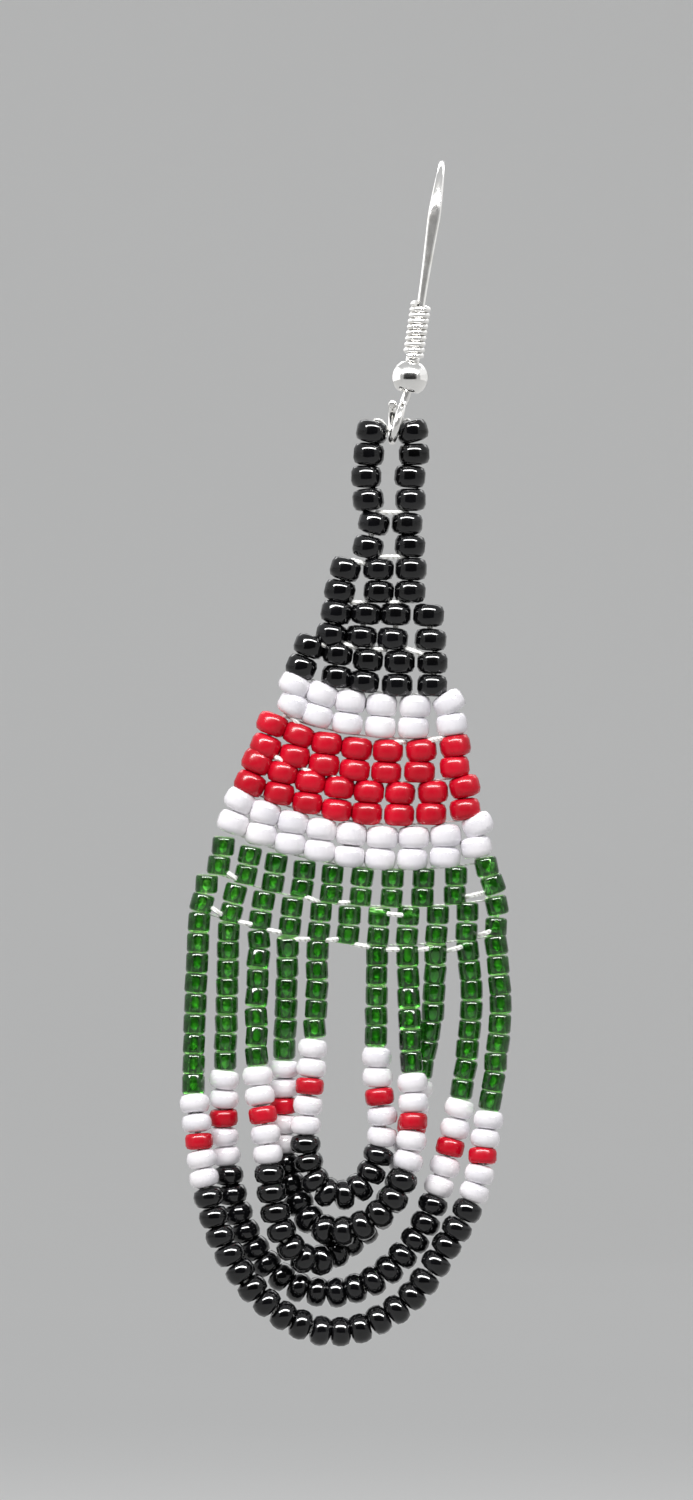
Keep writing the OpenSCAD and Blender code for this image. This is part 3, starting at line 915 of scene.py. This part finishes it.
opaque_bead = seed_bead(radius=1.2, length=1.71, hole=HOLE_R, roll=0.5)
white_bead = seed_bead(radius=1.23, length=1.7, hole=HOLE_R, roll=0.5)
fringe_bead = seed_bead(radius=1.18, length=1.47, hole=HOLE_R, roll=0.54)
tip_bead = seed_bead(radius=1.1, length=1.3, hole=HOLE_R, roll=0.34)
# The green beads' holes and ends get the paler glass, whose colour paints glints at the joints.
green_bead = with_glinting_ends(seed_bead(radius=0.88, length=1.46, hole=GREEN_HOLE_R, roll=0.22), GREEN_HOLE_R)

bright_wire = ear_wire()
coil = wound_coil()
wire_pieces = [bright_wire, coil, drilled_ball()]
eye_thread()
top_loop()
woven_band("black_bead_rows", range(0, 4), "black_beads", "black_rows")
woven_band("upper_white_beads", range(4, 5), "white_beads", "upper_white_row")
woven_band("red_bead_rows", range(5, 7), "red_beads", "red_rows")
woven_band("lower_white_beads", range(7, 8), "white_beads", "lower_white_row")
woven_band("green_bead_rows", range(8, 10), "green_beads", "green_rows")
panel_threads()
for number in range(len(STRINGS)):
    fringe_string(number)
fringe_threads()
for form in (opaque_bead, white_bead, fringe_bead, tip_bead, green_bead):
    bpy.data.objects.remove(form)


# Stage, light and camera, in metres

MIDDLE = Vector((-0.0073, -0.0045, -0.0448))
CAMERA_DISTANCE = 1
FLOOR_Z = -0.16
FLOOR_SIDES = 96
FLAT_R = 1.6
FLOOR_R = 1.95
COVE_R = 0.62
COVE_STEPS = 12


def pale_stage():
    """A round pale floor that curves up into a low wall all round."""
    start_clean()
    bpy.ops.mesh.primitive_circle_add(vertices=FLOOR_SIDES, radius=FLAT_R, location=(0, 0, FLOOR_Z),
                                      fill_type="NGON")
    floor = bpy.context.object
    bpy.ops.object.transform_apply(location=True)
    bpy.ops.object.mode_set(mode="EDIT")
    choose(floor, "edges", lambda e: e.is_boundary)
    bpy.ops.mesh.extrude_edges_move(TRANSFORM_OT_translate={"value": (0, 0, 0)})
    bpy.ops.transform.resize(value=(FLOOR_R / FLAT_R, FLOOR_R / FLAT_R, 1), center_override=(0, 0, 0))
    for i in range(1, COVE_STEPS + 1):
        a, before = math.pi / 2 * i / COVE_STEPS, math.pi / 2 * (i - 1) / COVE_STEPS
        grow = (FLOOR_R + COVE_R * math.sin(a)) / (FLOOR_R + COVE_R * math.sin(before))
        rise = COVE_R * (math.cos(before) - math.cos(a))
        bpy.ops.mesh.extrude_edges_move(TRANSFORM_OT_translate={"value": (0, 0, rise)})
        bpy.ops.transform.resize(value=(grow, grow, 1), center_override=(0, 0, 0))
    bpy.ops.mesh.select_all(action="SELECT")
    bpy.ops.mesh.normals_make_consistent(inside=True)
    bpy.ops.object.mode_set(mode="OBJECT")
    bpy.ops.object.shade_smooth()
    floor.name = "pale_stage"
    material = bpy.data.materials.new("pale_paper")
    material.use_nodes = True
    tree = material.node_tree
    shader = tree.nodes["Principled BSDF"]
    where = node(tree, "ShaderNodeTexCoord").outputs["Object"]
    tone = node(tree, "ShaderNodeMix", data_type="RGBA")
    tone.inputs["A"].default_value = (0.79, 0.785, 0.775, 1)
    tone.inputs["B"].default_value = (0.82, 0.815, 0.805, 1)
    tree.links.new(ranged(tree, noise(tree, where, 2, 2), 0, 1), tone.inputs["Factor"])
    tree.links.new(tone.outputs["Result"], shader.inputs["Base Color"])
    shader.inputs["Roughness"].default_value = 0.9
    shader.inputs["Specular IOR Level"].default_value = 0.1
    floor.data.materials.clear()
    floor.data.materials.append(material)
    floor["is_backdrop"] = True


def soft_light(name, place, aim, size, power, shine="both", only=None):
    """A rectangular soft box that lights surfaces ("diffuse"), shows as a highlight on them, or both."""
    lamp = bpy.data.lights.new(name, "AREA")
    lamp.shape = "RECTANGLE"
    lamp.size, lamp.size_y = size
    lamp.energy = power
    box = bpy.data.objects.new(name, lamp)
    bpy.context.scene.collection.objects.link(box)
    box.location = place
    box.rotation_euler = (Vector(aim) - Vector(place)).to_track_quat("-Z", "Y").to_euler()
    box.visible_camera = False
    box.visible_diffuse = shine != "highlight"
    box.visible_glossy = shine != "diffuse"
    if only:
        lit = bpy.data.collections.new(name + "_on")
        for obj in only:
            lit.objects.link(obj)
        box.light_linking.receiver_collection = lit


def dark_card(name, place, aim, size):
    """A dark card that the bright metal and the glass mirror. It isn't seen and doesn't shade the stage."""
    start_clean()
    bpy.ops.mesh.primitive_plane_add(size=1)
    card = bpy.context.object
    card.name = name
    card.data.transform(Matrix.Diagonal((size[0], size[1], 1, 1)))
    turn = (Vector(aim) - Vector(place)).to_track_quat("Z", "Y").to_matrix().to_4x4()
    card.data.transform(Matrix.Translation(place) @ turn)
    material = bpy.data.materials.new(name + "_felt")
    material.use_nodes = True
    shader = material.node_tree.nodes["Principled BSDF"]
    shader.inputs["Base Color"].default_value = (0.01, 0.01, 0.01, 1)
    shader.inputs["Roughness"].default_value = 1
    card.data.materials.append(material)
    card.visible_camera = False
    card.visible_diffuse = False
    card.visible_shadow = False
    card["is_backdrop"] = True


pale_stage()
soft_light("broad_key", (-0.35, -1.0, 1.2), MIDDLE, (1.1, 1.1), 33, "diffuse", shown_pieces())
soft_light("highlight_strip", MIDDLE + Vector((0, -0.53, 0.53)), MIDDLE, (1.6, 0.17), 45, "highlight")
soft_light("soft_above_back", MIDDLE + Vector((0.1, 0.6, 0.55)), MIDDLE, (1.2, 0.3), 3)
for name, side, power in (("left_of_wire", -1, 6), ("right_of_wire", 1, 2.5)):
    soft_light(name, MIDDLE + Vector((0.7 * side, 0.45, 0.05)), MIDDLE + Vector((0, 0.45, 0.05)), (1.5, 1.2),
               power, "highlight", wire_pieces)
soft_light("front_of_wire", MIDDLE + Vector((0, -0.54, -0.02)), MIDDLE, (1.0, 0.7), 0.6, "highlight",
           [bright_wire, coil])
dark_card("dark_card", MIDDLE + Vector((0, -0.55, -0.03)), MIDDLE + Vector((0, 0, -0.03)), (1.0, 0.72))

world = bpy.data.worlds.new("pale_room")
bpy.context.scene.world = world
world.use_nodes = True
world.node_tree.nodes["Background"].inputs["Color"].default_value = (0.97, 0.985, 1, 1)
world.node_tree.nodes["Background"].inputs["Strength"].default_value = 0.6

camera = bpy.data.cameras.new("camera")
camera.lens = 313
camera.sensor_width = 36
camera.clip_end = 20
eye = bpy.data.objects.new("camera", camera)
bpy.context.scene.collection.objects.link(eye)
eye.location = MIDDLE - Vector((0, CAMERA_DISTANCE, 0))
eye.rotation_euler = (math.pi / 2, 0, 0)
bpy.context.scene.camera = eye
bpy.context.scene.view_settings.view_transform = "Standard"
